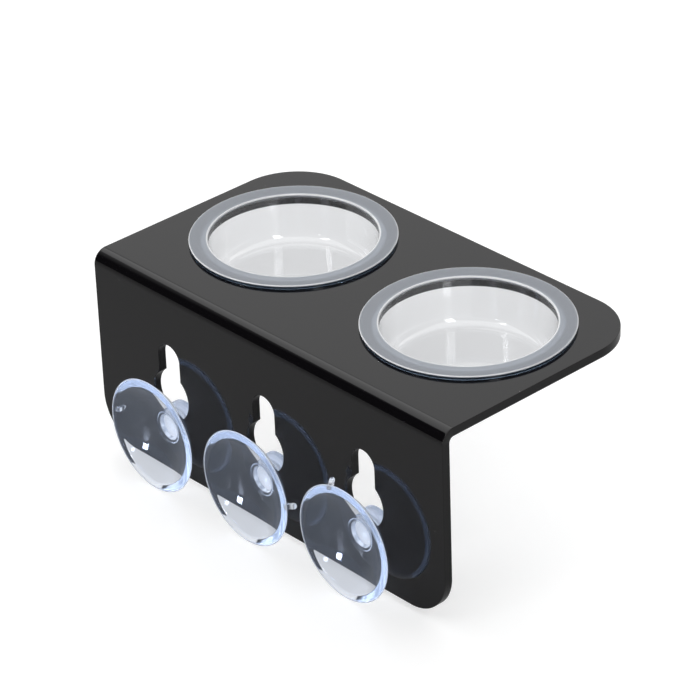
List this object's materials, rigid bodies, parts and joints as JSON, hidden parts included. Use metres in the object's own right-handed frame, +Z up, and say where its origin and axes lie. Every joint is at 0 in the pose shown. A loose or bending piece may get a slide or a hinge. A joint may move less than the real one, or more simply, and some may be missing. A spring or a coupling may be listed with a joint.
{
  "type": "gecko feeding ledge",
  "caption": "Bent black acrylic ledge with clear lift-out feeding cups in its shelf, hung on glass by clear suction cups that slide in keyhole slots.",
  "frame": {"origin": "centre of the middle suction cup's rim, on the plane of the glass that it holds on to", "axes": "+X along the bend to the right as seen from the glass side, +Y from the glass into the enclosure, +Z up"},
  "size_m": [0.142, 0.0871, 0.0634],
  "materials": {
    "black_acrylic": "polished black cast acrylic sheet with cut edges",
    "clear_polystyrene": "clear moulded polystyrene",
    "clear_soft_pvc": "clear soft moulded PVC with a faint blue tint"
  },
  "bodies": {
    "ledge": {"ledge": "black_acrylic"},
    "feeding_cup_left": {"feeding_cup_left": "clear_polystyrene"},
    "feeding_cup_right": {"feeding_cup_right": "clear_polystyrene"},
    "suction_cup_left": {"suction_cup_left": "clear_soft_pvc"},
    "suction_cup_middle": {"suction_cup_middle": "clear_soft_pvc"},
    "suction_cup_right": {"suction_cup_right": "clear_soft_pvc"}
  },
  "joints": [
    {"name": "feeding_cup_left_lift", "type": "slide", "parent": "ledge", "child": "feeding_cup_left", "axis": [0, 0, 1], "range_m": [0, 0.025]},
    {"name": "feeding_cup_right_lift", "type": "slide", "parent": "ledge", "child": "feeding_cup_right", "axis": [0, 0, 1], "range_m": [0, 0.025]},
    {"name": "suction_cup_left_slide", "type": "slide", "parent": "ledge", "child": "suction_cup_left", "axis": [0, 0, 1], "range_m": [0, 0.0217]},
    {"name": "suction_cup_middle_slide", "type": "slide", "parent": "ledge", "child": "suction_cup_middle", "axis": [0, 0, 1], "range_m": [0, 0.0217]},
    {"name": "suction_cup_right_slide", "type": "slide", "parent": "ledge", "child": "suction_cup_right", "axis": [0, 0, 1], "range_m": [0, 0.0217]}
  ]
}
